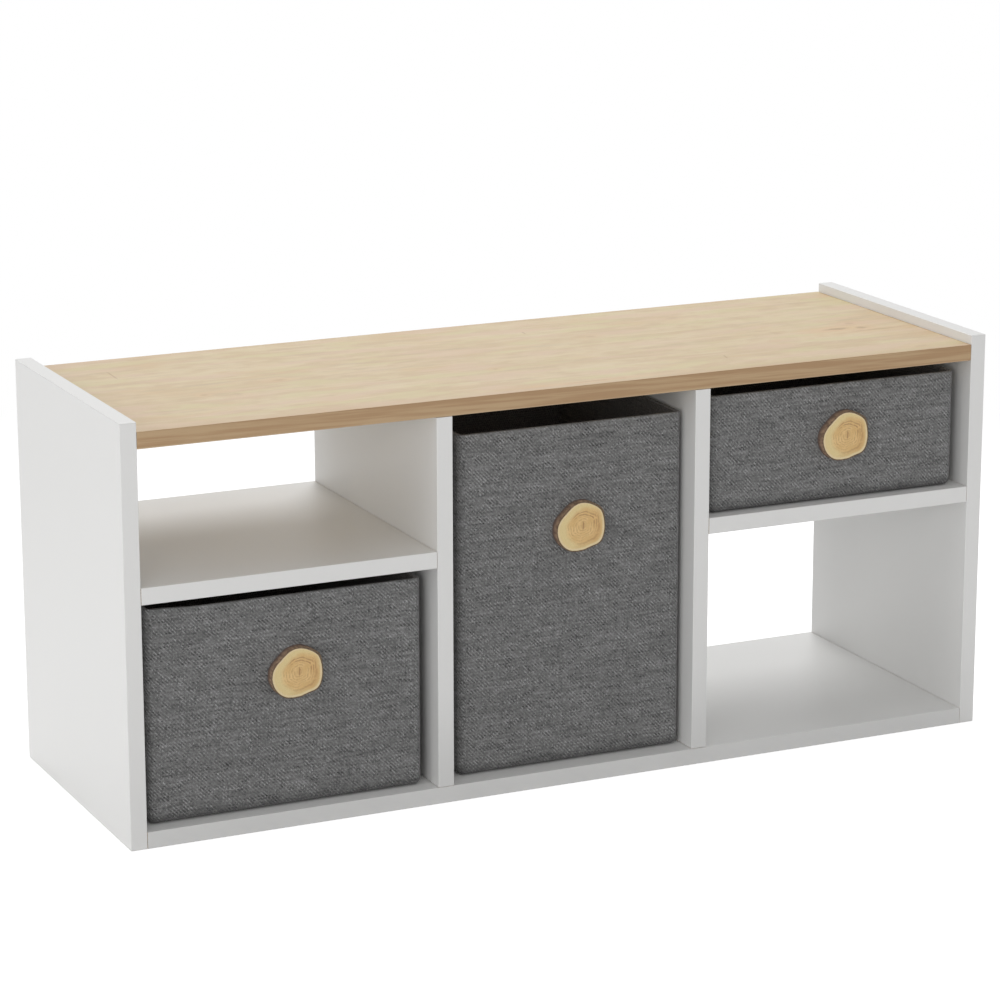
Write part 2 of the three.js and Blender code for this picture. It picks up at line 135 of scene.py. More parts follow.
class Finish:
    """A procedural finish: one material, and the nodes that vary it over the surface."""

    def __init__(self, name, **fixed):
        self.material = bpy.data.materials.new(name)
        self.material.use_nodes = True
        self.nodes = self.material.node_tree.nodes
        self.links = self.material.node_tree.links
        self.shader = self.nodes["Principled BSDF"]
        for socket, value in fixed.items():
            self.give(socket.replace("_", " "), value)

    def wire(self, socket, value):
        if isinstance(value, Value):
            self.links.new(value.socket, socket)
        else:
            socket.default_value = value

    def give(self, socket, value):
        """Sets a socket of the surface shader to a number or colour, or links a value to it."""
        self.wire(self.shader.inputs[socket], value)

    def node(self, kind, settings=None, sockets=None, output=0):
        """Any node: its type, its settings, then the numbers or values for its sockets."""
        made = self.nodes.new(kind)
        for name, setting in (settings or {}).items():
            setattr(made, name, setting)
        for name, value in (sockets or {}).items():
            self.wire(made.inputs[name], value)
        return Value(self, made.outputs[output])

    def split(self, vector):
        """The three parts of a vector."""
        return [self.node("ShaderNodeSeparateXYZ", None, {0: vector}, axis) for axis in range(3)]

    def place(self):
        """The three coordinates of the point on the piece, in metres."""
        return self.split(self.node("ShaderNodeTexCoord", None, None, "Object"))

    def facing(self):
        """The three parts of the direction that the surface faces."""
        return self.split(self.node("ShaderNodeNewGeometry", None, None, "Normal"))

    def vector(self, x, y, z):
        return self.node("ShaderNodeCombineXYZ", None, {0: x, 1: y, 2: z})

    def mark(self, name):
        """A number that is written on each point of the piece."""
        return self.node("ShaderNodeAttribute", {"attribute_name": name}, None, "Fac")

    def cloud(self, x, y, z, detail):
        """Soft noise round 0.5, with lumps as wide as what each coordinate is divided by."""
        sockets = {"Vector": self.vector(x, y, z), "Scale": 1.0, "Detail": detail, "Roughness": 0.5}
        return self.node("ShaderNodeTexNoise", {"noise_dimensions": "3D"}, sockets)

    def round_cloud(self, where, size, detail):
        """Soft noise round 0.5, with lumps as wide as the size in every direction."""
        x, y, z = where
        return self.cloud(x / size, y / size, z / size, detail)

    def flat_cloud(self, flat, wide, tall, layer):
        """Soft noise round 0.5 on two flat coordinates; another layer gives another pattern."""
        return self.cloud(flat[0] / wide, flat[1] / tall, layer, 2.0)

    def speck(self, x, y, z):
        """A random number from 0 to 1 for each whole step of its coordinates."""
        return self.node("ShaderNodeTexWhiteNoise", {"noise_dimensions": "3D"},
                         {"Vector": self.vector(x, y, z)})

    def blend(self, share, first, second):
        """A colour that goes from the first to the second as the share goes from 0 to 1."""
        settings = {"data_type": "RGBA", "clamp_factor": True}
        colours = [c if isinstance(c, Value) else (*c, 1.0) for c in (first, second)]
        return self.node("ShaderNodeMix", settings, {0: share, 6: colours[0], 7: colours[1]}, 2)

    def shade(self, colour, amount):
        """The colour times a number."""
        first = colour if isinstance(colour, Value) else Vector(colour)
        grey = self.vector(amount, amount, amount)
        return self.node("ShaderNodeVectorMath", {"operation": "MULTIPLY"}, {0: first, 1: grey})

    def surface(self, colour, roughness, height):
        """The finished material: its colour, its roughness and its relief in metres."""
        sockets = {"Strength": 1.0, "Distance": 1.0, "Height": height}
        self.give("Base Color", colour)
        self.give("Roughness", roughness)
        self.give("Normal", self.node("ShaderNodeBump", None, sockets))
        return self.material


white_paper = (0.800, 0.797, 0.785)
band_thickness = 0.001
skin_depth = 0.0004
# Painted shade on the bands near the floor reaches this high
floor_shade_height = 0.120
chip_dark = (0.255, 0.165, 0.090)
chip_pale = (0.560, 0.410, 0.245)


def chipboard_core(finish, where):
    """The colour of raw chipboard: flat chips of softwood a few millimetres long, pressed with glue."""
    x, y, z = where
    chips = finish.cloud(x / 0.0045, y / 0.0028, z / 0.0012, 1.0)
    flour = finish.cloud(x / 0.0007, y / 0.0007, z / 0.0005, 2.0)
    return finish.blend((chips * 0.7 + flour * 0.3).rise(0.32, 0.66), chip_dark, chip_pale)


def depths_in(where, box):
    """How deep a point of a board lies behind the nearer of its two faces, along each axis."""
    low, high = box
    return [(where[axis] - low[axis]).lesser(high[axis] - where[axis]) for axis in range(3)]


def bare_chipboard(depths, cut_axis):
    """1 in the bores of a board and on its two cut ends, and 0 on its faces."""
    bare = depths[0].lesser(depths[1]).lesser(depths[2]).rise(skin_depth * 0.8, skin_depth * 1.2)
    if cut_axis:
        bare = bare.greater(depths["xyz".index(cut_axis)].rise(0.00022, 0.00012))
    return bare


def melamine(name, cut_axis, banded_axes, floor_shade_amount=0.16):
    """White melamine for one board, bare at the cut ends that its neighbours hide, with painted shade on
    its bands near the floor.
    """
    finish = Finish("white_melamine_" + name, Specular_IOR_Level=0.42)
    low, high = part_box(name)
    where = finish.place()
    x, y, z = where
    depths = depths_in(where, (low, high))
    seed = low.x * 3.0 + low.z * 7.0

    # The paper: a faint cloudiness and a fine fleck from the press
    mottle = finish.cloud(x / 0.09 + seed, y / 0.09, z / 0.09, 3.0)
    fleck = finish.round_cloud(where, 0.0016, 2.0)
    paper = finish.shade(white_paper, 0.985 + mottle * 0.022 + fleck * 0.012)

    # The edge band is a shade darker than the faces, with a hairline of glue where it meets them
    turned = [abs(part).rise(0.6, 0.8) for part in finish.facing()]
    for axis in banded_axes:
        index = "xyz".index(axis)
        on_band = turned[index]
        paper = finish.shade(paper, 1.0 - on_band * 0.012)
        seam = abs(depths[index] - band_thickness).rise(0.00022, 0.00004) * (1.0 - on_band)
        paper = finish.blend(seam * 0.22, paper, (0.44, 0.42, 0.38))

    # Painted shade: the front and back bands are greyer close to the floor
    floor_shade = z.rise(floor_shade_height, 0.0) * turned[1]
    paper = finish.shade(paper, 1.0 - floor_shade * (floor_shade_amount * 0.6 + mottle * floor_shade_amount * 0.8))

    # A fine orange peel in the lacquered paper, and a coarse grain where the chips are bare
    bare = bare_chipboard(depths, cut_axis)
    colour = finish.blend(bare, paper, chipboard_core(finish, where))
    peel = finish.round_cloud(where, 0.0013, 1.0)
    roughness = 0.40 + mottle * 0.06 + bare * 0.35
    return finish.surface(colour, roughness, peel * 0.000010 + fleck * bare * 0.0003)


def dress(name, material):
    """Gives a node of the frame its finish in every slot that it has."""
    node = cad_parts[name]
    for holder in node.material_slots:
        holder.material = material


# The side boards take less painted shade near the floor than the other boards
for name, floor_shade_amount in (("side_left", 0.03), ("side_right", 0.09)):
    dress(name, melamine(name, None, "yz", floor_shade_amount))


# Bottom board, dividers and shelves
# The same white chipboard, banded on the front and back edges and cut square at the hidden ends.
# The bottom lies on the floor, the dividers are screwed to it, and dowels carry the shelves.

for name in ("bottom_board", "shelf_left", "shelf_right"):
    dress(name, melamine(name, "x", "y"))
for name in ("divider_left", "divider_right"):
    dress(name, melamine(name, "z", "y"))


# Top board
# The same chipboard, faced with a printed oak paper whose grain runs along the board.
# Its front and back edges carry a darker oak band with long straight streaks.

oak_pale = (0.672, 0.538, 0.335)
oak_warm = (0.600, 0.446, 0.255)
oak_honey = (0.610, 0.420, 0.214)
oak_fume = (0.520, 0.400, 0.255)
oak_cream = (0.690, 0.574, 0.385)
oak_blush = (0.660, 0.480, 0.330)
oak_straw = (0.630, 0.536, 0.290)
oak_knot = (0.410, 0.262, 0.140)
oak_brown = (0.350, 0.190, 0.095)
band_pale = (0.502, 0.347, 0.198)
band_warm = (0.422, 0.266, 0.142)
band_brown = (0.300, 0.170, 0.082)

# Knots: middle x and y, half length, half width, strength
oak_knots = [
    (0.3520, -0.0275, 0.0130, 0.0046, 0.95),
    (0.3785, -0.0312, 0.0068, 0.0046, 0.70),
    (0.3780, -0.0090, 0.0060, 0.0040, 0.45),
    (0.3930, -0.0450, 0.0240, 0.0030, 0.55),
    (-0.2414, -0.0067, 0.0060, 0.0030, 0.50),
    (-0.3278, -0.0364, 0.0036, 0.0034, 0.50),
    (-0.2978, -0.0460, 0.0050, 0.0070, 0.22),
    (-0.0372, -0.0503, 0.0030, 0.0026, 0.45),
    (0.2867, -0.0183, 0.0050, 0.0080, 0.16),
    (0.3863, -0.1330, 0.0080, 0.0028, 0.30),
    (0.2287, 0.0922, 0.0070, 0.0060, 0.22),
    (0.0220, -0.1368, 0.0260, 0.0016, 0.55),
    (0.1120, 0.0450, 0.0050, 0.0030, 0.35),
]

# Short dark scars across the grain: middle x and y, half length, turn in degrees
oak_scars = [
    (-0.3770, 0.0790, 0.0215, -92.0),
    (0.1882, -0.0956, 0.0087, -103.0),
    (0.0600, 0.0900, 0.0070, -95.0),
]


def oak_veneer(name):
    finish = Finish("oak_print_" + name, Specular_IOR_Level=0.40)
    low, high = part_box(name)
    where = finish.place()
    x, y, z = where
    depths = depths_in(where, (low, high))

    # Grain lines wander a little and bow round the knots, whose outlines are ragged
    sway = finish.cloud(x / 0.42, y / 0.15, z / 0.3, 1.0)
    wander = finish.cloud(x / 0.09, y / 0.04, z / 0.1 + 4.0, 1.0)
    ragged = finish.cloud(x / 0.011, y / 0.005, z / 0.1 + 8.0, 2.0)
    across = y + (sway - 0.5) * 0.010 + (wander - 0.5) * 0.0035
    knot = 0.0
    halo = 0.0
    for middle_x, middle_y, long, wide, strength in oak_knots:
        along = (x - middle_x) / long
        aside = (y - middle_y) / wide
        reach = (along * along + aside * aside) ** 0.5 + (ragged - 0.5) * 1.3
        core = reach.rise(1.45, 0.20) * strength
        glow = reach.rise(5.0, 0.8) * strength
        knot = core.greater(knot)
        halo = glow.greater(halo)
        if strength > 0.3:
            across = across - (y - middle_y) * reach.rise(4.2, 0.6) * 0.55

    # From the widest to the finest: colour fields, short soft figure, streaks, fibres and pores
    field = finish.cloud(x / 0.24 + 2.0, across / 0.034, z / 0.1, 2.0)
    blush = finish.cloud(x / 0.10 + 9.0, across / 0.046, z / 0.1, 2.0)
    tint = finish.cloud(x / 0.095 + 4.0, across / 0.022, z / 0.1, 2.0)
    figure = finish.cloud(x / 0.028, across / 0.016, z / 0.05, 3.0)
    streak = finish.cloud(x / 0.085, across / 0.0070, z / 0.02, 3.0)
    line = finish.cloud(x / 0.020 + 5.0, across / 0.0024, z / 0.01, 3.0)
    fibre = finish.cloud(x / 0.012, across / 0.00042, z / 0.004, 2.0)
    pore = finish.cloud(x / 0.0065 + 3.0, across / 0.00030, z / 0.003, 0.0)
    pores = pore.rise(0.66, 0.74)
    paper = finish.blend((field * 0.5 + figure * 0.5).rise(0.40, 0.60), oak_warm, oak_pale)
    paper = finish.blend((blush * 0.6 + figure * 0.4).rise(0.50, 0.64) * 0.55, paper, oak_honey)
    paper = finish.blend(streak.rise(0.54, 0.72) * 0.42, paper, oak_fume)
    paper = finish.blend(streak.rise(0.47, 0.28) * 0.60, paper, oak_cream)
    paper = finish.blend(tint.rise(0.51, 0.66) * 0.65, paper, oak_blush)
    paper = finish.blend(tint.rise(0.47, 0.34) * 0.65, paper, oak_straw)
    paper = finish.shade(paper, 0.930 + line * 0.110 + fibre * 0.030)
    paper = finish.blend(pores * 0.16, paper, oak_brown)
    # Painted shade: a darker, warmer band along the front edge
    front_edge_shade = (y - low.y).rise(0.030, 0.002) * (0.35 + blush * 0.7)
    paper = finish.blend(front_edge_shade * 0.55, paper, (0.540, 0.362, 0.205))
    paper = finish.blend(halo * 0.62, paper, (0.680, 0.432, 0.225))
    ring = ((knot * 11.0).sine() * 0.5 + 0.5) * 0.25 + 0.75
    paper = finish.blend(knot * ring, paper, oak_knot)
    for middle_x, middle_y, long, turn in oak_scars:
        cosine = math.cos(math.radians(turn))
        sine = math.sin(math.radians(turn))
        along = (x - middle_x) * cosine + (y - middle_y) * sine
        aside = (y - middle_y) * cosine - (x - middle_x) * sine
        scar = abs(along).rise(long, long * 0.4) * abs(aside).rise(0.0013, 0.0003)
        paper = finish.blend(scar * 0.45, paper, oak_brown)

    # The bands on the front and back edges
    lane = z + x * 0.016 + (sway - 0.5) * 0.004
    wide_streak = finish.cloud(x / 0.12 + 7.0, y * 3.0, lane / 0.0035, 3.0)
    thin_streak = finish.cloud(x / 0.05 + 1.0, y * 3.0, lane / 0.0009, 2.0)
    band = finish.blend(wide_streak.rise(0.40, 0.62), band_warm, band_pale)
    band = finish.blend(thin_streak.rise(0.58, 0.78) * 0.35, band, band_brown)
    band = finish.shade(band, 0.96 + thin_streak * 0.08)
    under = (z - low.z).rise(0.0014, 0.0008)
    band = finish.blend(under * 0.45, band, (0.600, 0.450, 0.290))
    upper = (high.z - z).rise(0.0012, 0.0003)
    band = finish.blend(upper * 0.40, band, band_brown)
    on_band = abs(finish.facing()[1]).rise(0.55, 0.80)
    seam = abs(depths[1] - band_thickness).rise(0.0005, 0.0001) * (1.0 - on_band)
    paper = finish.blend(seam * 0.45, paper, (0.480, 0.270, 0.170))
    paper = finish.blend(on_band, paper, band)

    bare = bare_chipboard(depths, "x")
    colour = finish.blend(bare, paper, chipboard_core(finish, where))
    roughness = 0.44 + line * 0.10 - pores * 0.05 + bare * 0.30
    return finish.surface(colour, roughness, (fibre * 0.4 + line) * 0.000012 - pores * 0.000020)


dress("top_board", oak_veneer("top_board"))


# Cam locks and cam bolts
# Die-cast zinc drums pressed into bores in the undersides of the top and bottom boards.
# Each turns on the head of a steel bolt that is screwed into a side board.

ends = ("left_front", "left_back", "right_front", "right_back")
bolt_thread = 0.0105
bolt_pitch = 0.0025


def cast_zinc():
    finish = Finish("cast_zinc", Metallic=1.0)
    where = finish.place()
    x, y, z = where
    grain = finish.round_cloud(where, 0.0011, 3.0)
    flow = finish.cloud(x / 0.006, y / 0.006, z / 0.004, 2.0)
    zinc = finish.blend(flow.rise(0.3, 0.7), (0.50, 0.51, 0.52), (0.66, 0.66, 0.67))
    return finish.surface(zinc, 0.32 + grain * 0.30, grain * 0.00004)


def middle_of(name):
    low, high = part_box(name)
    return (low + high) / 2


def threaded_steel(name, axis, thread, pitch):
    """Zinc-plated steel for one bolt or screw, with its thread between two places on its axis."""
    finish = Finish("plated_steel_" + name, Metallic=1.0)
    middle = middle_of(name)
    where = finish.place()
    along = where["xyz".index(axis)]
    first, second = [index for index in range(3) if "xyz"[index] != axis]
    angle = (where[first] - middle[first]).angle(where[second] - middle[second])
    turned_on = along / pitch + angle / (2 * math.pi)
    groove = abs((turned_on % 1.0) - 0.5) * 2.0
    start, end = thread
    cut = (along - start).lesser(end - along).rise(-0.0002, 0.0006)
    scuff = finish.round_cloud(where, 0.002, 3.0)
    plating = finish.blend(scuff.rise(0.35, 0.7), (0.58, 0.585, 0.60), (0.72, 0.72, 0.73))
    roughness = 0.24 + scuff * 0.22 + cut * 0.05
    return finish.surface(plating, roughness, groove * cut * 0.0005 + scuff * 0.000015)


zinc_drum = cast_zinc()
for board in ("top", "bottom"):
    for end in ends:
        dress(f"cam_lock_{board}_{end}", zinc_drum)
        bolt = f"cam_bolt_{board}_{end}"
        low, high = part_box(bolt)
        thread = (low.x, low.x + bolt_thread) if "left" in end else (high.x - bolt_thread, high.x)
        dress(bolt, threaded_steel(bolt, "x", thread, bolt_pitch))


# Dowels
# Turned beech pins, 8 by 30 mm, with glue flutes rolled along them. They stand in the side
# boards and dividers to carry the shelves, and in the tops of the dividers.

flutes = 18


def fluted_beech(name):
    finish = Finish("beech_" + name)
    low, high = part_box(name)
    middle = middle_of(name)
    spans = list(high - low)
    long_axis = spans.index(max(spans))
    first, second = [axis for axis in range(3) if axis != long_axis]
    where = finish.place()
    aside = where[first] - middle[first]
    angle = aside.angle(where[second] - middle[second])
    flute = abs((angle * (flutes / (2 * math.pi))) % 1.0 - 0.5) * 2.0
    along = where[long_axis]
    grain = finish.cloud(along / 0.012, aside / 0.0008, where[second] / 0.0008, 3.0)
    fleck = finish.cloud(along / 0.0016, aside / 0.0003, where[second] / 0.0003, 1.0)
    wood = finish.blend(grain.rise(0.3, 0.7), (0.56, 0.385, 0.215), (0.70, 0.520, 0.320))
    wood = finish.blend(fleck.rise(0.62, 0.74) * 0.5, wood, (0.36, 0.205, 0.10))
    # Painted shade: the wood is darker down in the flutes
    wood = finish.shade(wood, 0.86 + flute * 0.14)
    return finish.surface(wood, 0.62, flute * 0.00035 + grain * 0.00004)


for end in ends:
    for seat in ("side", "divider", "top"):
        name = f"dowel_{seat}_{end}"
        dress(name, fluted_beech(name))


# Divider screws
# Countersunk furniture screws with a hexagon socket, 50 mm long. They go up through the
# bottom board into the lower ends of the dividers.

screw_shank = 0.016
screw_pitch = 0.003

for end in ends:
    name = f"screw_divider_{end}"
    low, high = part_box(name)
    dress(name, threaded_steel(name, "z", (low.z + screw_shank, high.z), screw_pitch))


# Bin covers
# Heathered grey twill over a card box: one strip round the walls, sewn to a bottom panel. Its upper
# edge is rolled in and sewn to the lining, and its corners stay softly rounded.

hands = ("left", "middle", "right")
cover_corner = 0.007
cover_cloth = 0.0014
rim_width = 0.0020
rim_radius = 0.0009
cover_step = 0.008
ripple_height = 0.0008
rim_lift = 0.0013
rim_sink = 0.0008
yarn_across = 0.000912
yarn_up = 0.000962

# Places less than a hair apart count as one
hair = 0.0001


def start_box(name, low, high):
    """A block between two corners, alone in the selection and open in edit mode."""
    bpy.ops.object.select_all(action="DESELECT")
    bpy.ops.mesh.primitive_cube_add(size=1, location=(low + high) / 2, scale=high - low)
    piece = bpy.context.object
    piece.name = name
    piece.data.name = name
    bpy.ops.object.transform_apply(location=True, rotation=True, scale=True)
    bpy.ops.object.mode_set(mode="EDIT")
    return piece


def pick(piece, parts, test):
    """Selects the edges or faces of the open piece that pass a test."""
    bpy.ops.mesh.select_mode(type={"edges": "EDGE", "faces": "FACE"}[parts])
    bpy.ops.mesh.select_all(action="DESELECT")
    mesh = bmesh.from_edit_mesh(piece.data)
    mesh.normal_update()
    for part in getattr(mesh, parts):
        if test(part):
            part.select_set(True)
    bmesh.update_edit_mesh(piece.data)


def slice_at(axis, places):
    """Cuts the whole open piece at each place along an axis, to give the cloth points to move."""
    normal = Vector((0, 0, 0))
    normal[axis] = 1
    for place in places:
        bpy.ops.mesh.select_all(action="SELECT")
        bpy.ops.mesh.bisect(plane_co=normal * place, plane_no=normal)


def steps_between(start, end, step):
    count = max(1, round((end - start) / step))
    return [start + (end - start) * index / count for index in range(count + 1)]


def on_top(edge, high):
    return min(vert.co.z for vert in edge.verts) > high.z - hair


def open_box(name, low, high, corner, step):
    """An open-topped box of cloth with round corners and floor edges, its upper edge picked."""
    piece = start_box(name, low, high)

    def rounded(edge):
        heights = [vert.co.z for vert in edge.verts]
        upright = abs(heights[0] - heights[1]) > 0.001
        return upright or max(heights) < low.z + 0.001

    pick(piece, "edges", rounded)
    bpy.ops.mesh.bevel(offset=corner, segments=6, profile=0.5, affect="EDGES")
    slice_at(0, steps_between(low.x + corner, high.x - corner, step)[1:-1])
    slice_at(1, steps_between(low.y + corner, high.y - corner, step)[1:-1])
    slice_at(2, steps_between(low.z + corner, high.z, step)[1:-1])
    pick(piece, "faces", lambda face: face.normal.z > 0.9)
    bpy.ops.mesh.delete(type="FACE")
    pick(piece, "edges", lambda edge: on_top(edge, high))
    return piece


def wall_place(point, guide, low, high, corner):
    """How far round the walls a point is from the front left corner, and how far in from them."""
    inner_low = low + Vector((corner, corner, 0))
    inner_high = high - Vector((corner, corner, 0))
    width = inner_high.x - inner_low.x
    depth = inner_high.y - inner_low.y
    arc = math.pi / 2 * corner
    starts = [0, width + arc, width + 2 * arc + depth, 2 * width + 3 * arc + depth]

    def away(place):
        held_x = min(max(place.x, inner_low.x), inner_high.x)
        held_y = min(max(place.y, inner_low.y), inner_high.y)
        return place.x - held_x, place.y - held_y

    side_x, side_y = away(guide)
    out_x, out_y = away(point)
    reach = math.hypot(out_x, out_y)
    if abs(side_x) > 1e-6 and abs(side_y) > 1e-6:
        if reach < 1e-5:
            out_x, out_y = side_x, side_y
        quarter = (1 if side_y > 0 else 0) if side_x > 0 else (2 if side_y > 0 else 3)
        turn = math.degrees(math.atan2(out_y, out_x)) + 90 - 90 * quarter
        turn = (turn + 180) % 360 - 180
        return starts[quarter] + (width, depth)[quarter % 2] + arc * turn / 90, corner - reach
    if abs(side_y) > 1e-6:
        wall = 0 if side_y < 0 else 2
    else:
        wall = 1 if side_x > 0 else 3
    along = (point.x - inner_low.x, point.y - inner_low.y, inner_high.x - point.x, inner_high.y - point.y)
    return starts[wall] + along[wall], corner - reach


def lay_cloth(piece, low, high, corner, shift):
    """Gives each corner of a face its place on the flat cloth: metres round the walls and up them."""
    flat = piece.data.uv_layers[0]
    flat.name = "cloth"
    quarter_turn = corner * math.pi / 2
    for face in piece.data.polygons:
        on_floor = face.normal.z < -0.99
        for index in face.loop_indices:
            point = piece.data.vertices[piece.data.loops[index].vertex_index].co
            if on_floor:
                u = point.x - low.x - corner
                v = low.z + corner - quarter_turn - (point.y - low.y - corner)
            else:
                u, inward = wall_place(point, face.center, low, high, corner)
                sunk = min(max((low.z + corner - point.z) / corner, 0.0), 1.0)
                v = max(point.z, low.z + corner) - corner * math.asin(sunk)
                if point.z > high.z - hair:
                    v = high.z + inward
            flat.data[index].uv = (u + shift, v)


def near(value, start, end):
    """0 at start, 1 at end, smooth between them."""
    share = min(max((value - start) / (end - start), 0.0), 1.0)
    return share * share * (3 - 2 * share)


def wall_points(piece, low, high, floor_gap):
    """The points of the flat walls, each with its distance from the corner and the way out."""
    for vert in piece.data.vertices:
        place = vert.co
        to_side = min(place.x - low.x, high.x - place.x)
        to_face = min(place.y - low.y, high.y - place.y)
        if min(to_side, to_face) > 0.0005 or place.z < low.z + floor_gap:
            continue
        outward = Vector((0, 0, 0))
        if to_face < to_side:
            outward.y = -1 if place.y < (low.y + high.y) / 2 else 1
        else:
            outward.x = -1 if place.x < (low.x + high.x) / 2 else 1
        yield vert, max(to_side, to_face), outward


def waves(place, wide, tall, seed):
    return noise.noise(Vector((place.x / wide, place.y / wide, place.z / tall)) + seed)


def ripple(piece, low, high, knob, seed):
    """Moves the cloth of the walls in and out in slow waves, and leaves corners, floor and rim."""
    for vert, along, outward in wall_points(piece, low, high, cover_corner):
        place = vert.co.copy()
        hold = near(along, 0.006, 0.045) * near(place.z, low.z + 0.008, low.z + 0.05)
        hold *= near(high.z - place.z, 0.0, 0.03)
        if outward.y < 0:
            hold *= near(math.hypot(place.x - knob.x, place.z - knob.z), 0.026, 0.060)
        height = waves(place, 0.085, 0.11, seed) + waves(place, 0.03, 0.045, seed * 2) * 0.35
        vert.co = place + outward * hold * ripple_height * height


def settle(piece, low, high):
    """Lifts the front left corner of a bin's rim, and lets the rest of its front edge sink."""
    for vert in piece.data.vertices:
        share = near(vert.co.z, high.z - 0.040, high.z - 0.003)
        share *= near(vert.co.y, low.y + 0.070, low.y + 0.010)
        from_left = vert.co.x - low.x
        rise = rim_lift * near(from_left, 0.050, 0.006) - rim_sink * near(from_left, 0.012, 0.062)
        vert.co.z += share * rise


def turn_edge(piece, low, high, corner, reach):
    """Adds a strip to the picked upper edge that turns in, or out where the reach is below 0."""
    bpy.ops.mesh.extrude_region_move()
    mesh = bmesh.from_edit_mesh(piece.data)
    for vert in [vert for vert in mesh.verts if vert.select]:
        held = Vector((min(max(vert.co.x, low.x + corner), high.x - corner),
                       min(max(vert.co.y, low.y + corner), high.y - corner), vert.co.z))
        inward = held - vert.co
        vert.co = vert.co + inward.normalized() * min(reach, inward.length)
    bmesh.update_edit_mesh(piece.data)


def thicken(piece, thickness):
    """Gives the cloth its thickness on the inside, and shades it smooth."""
    wall = piece.modifiers.new("cloth", "SOLIDIFY")
    wall.thickness = thickness
    wall.offset = -1
    wall.use_even_offset = True
    bpy.ops.object.modifier_apply(modifier=wall.name)
    bpy.ops.object.shade_smooth_by_angle(angle=math.radians(40))


def write_mark(piece, name, measure):
    """Writes a number on each point of a piece, for its finish to read."""
    mark = piece.data.attributes.new(name, "FLOAT", "POINT")
    for index, vert in enumerate(piece.data.vertices):
        mark.data[index].value = measure(vert.co)


def twill():
    """Two-and-two twill of slubby yarns: pale warp over dark weft, heathered in streaks."""
    finish = Finish("grey_twill", Specular_IOR_Level=0.18, Sheen_Weight=0.12, Sheen_Roughness=0.6)
    flat = finish.split(finish.node("ShaderNodeUVMap", {"uv_map": "cloth"}))
    u, v = flat[:2]

    # Yarns lean and wander a little, so the twill line is never quite straight
    lean = finish.flat_cloud(flat, 0.030, 0.022, 2.0)
    drift = finish.flat_cloud(flat, 0.045, 0.045, 7.0)
    across = (u + (lean - 0.5) * 0.0018) / yarn_across
    up = (v + (drift - 0.5) * 0.0022) / yarn_up
    warp = across.floor()
    weft = up.floor()
    within_warp = across - warp
    within_weft = up - weft
    step = (warp + weft) % 4.0
    warp_on_top = 1.0 - step.above(1.5)

    # Each yarn is round, and arches where it floats over its two neighbours
    warp_arch = ((step + within_weft) * (math.pi / 2)).sine()
    weft_arch = ((step - 2.0 + within_warp) * (math.pi / 2)).sine()
    heights = []
    for within, arch in ((within_warp, warp_arch), (within_weft, weft_arch)):
        aside = within * 2.0 - 1.0
        heights.append((1.0 - aside * aside) * (0.35 + arch * 0.65))
    height = heights[1] + (heights[0] - heights[1]) * warp_on_top

    # Every yarn has its own grey, which drifts along it; slubs make some stretches thick and pale
    warp_tone = finish.speck(warp, (v / 0.0048).floor(), 0.5)
    warp_run = finish.cloud(warp * 0.73, v / 0.012, 1.0, 1.0)
    weft_tone = finish.speck((u / 0.0060).floor(), weft, 0.5)
    weft_run = finish.cloud(u / 0.016, weft * 0.71, 5.0, 1.0)
    slub = finish.flat_cloud(flat, 0.030, 0.0022, 9.0)
    streak = finish.flat_cloud(flat, 0.075, 0.0075, 11.0)
    plied = finish.flat_cloud(flat, 0.0013, 0.0013, 4.0)
    tuft = finish.flat_cloud(flat, 0.0042, 0.0032, 6.0)
    heather = finish.flat_cloud(flat, 0.040, 0.018, 3.0)
    warp_grey = 0.205 + (warp_tone - 0.5) * 0.13 + (warp_run - 0.5) * 0.16
    weft_grey = 0.132 + (weft_tone - 0.5) * 0.09 + (weft_run - 0.5) * 0.16
    grey = weft_grey + (warp_grey - weft_grey) * warp_on_top

    # The twill line stands clear in patches, and is filled with loose fibre between them
    clear = finish.flat_cloud(flat, 0.010, 0.0075, 12.0).rise(0.40, 0.58)
    grey = 0.172 + (grey - 0.172) * (0.45 + clear * 0.70)
    # Painted shade and highlight: darker in the hollows between the yarns, lighter on their crowns
    grey = grey * (0.86 + (height - 0.54) * (0.20 + clear * 0.42))
    grey = grey * (1.0 + (slub - 0.5) * 0.85 + (tuft - 0.5) * 1.20)
    grey = grey * (1.0 + (plied - 0.5) * 0.80 + (heather - 0.5) * 0.45 + (streak - 0.5) * 0.45)

    # Painted contact shade: the cloth darkens towards its lower edge, where it curls under onto the board
    above_board = finish.mark("above_board")
    contact_shade = 0.04 + above_board.rise(0.0, 0.0028) * 0.52 + above_board.rise(0.002, 0.014) * 0.44
    tint = finish.blend(plied.rise(0.3, 0.7), (1.000, 0.985, 0.985), (0.985, 1.000, 0.990))
    colour = finish.shade(tint, grey * contact_shade * 1.30)
    fuzz = finish.flat_cloud(flat, 0.0004, 0.0004, 8.0)
    relief = height * 0.00016 + fuzz * 0.00005 + slub * 0.00010
    return finish.surface(colour, 0.86 + plied * 0.12, relief)


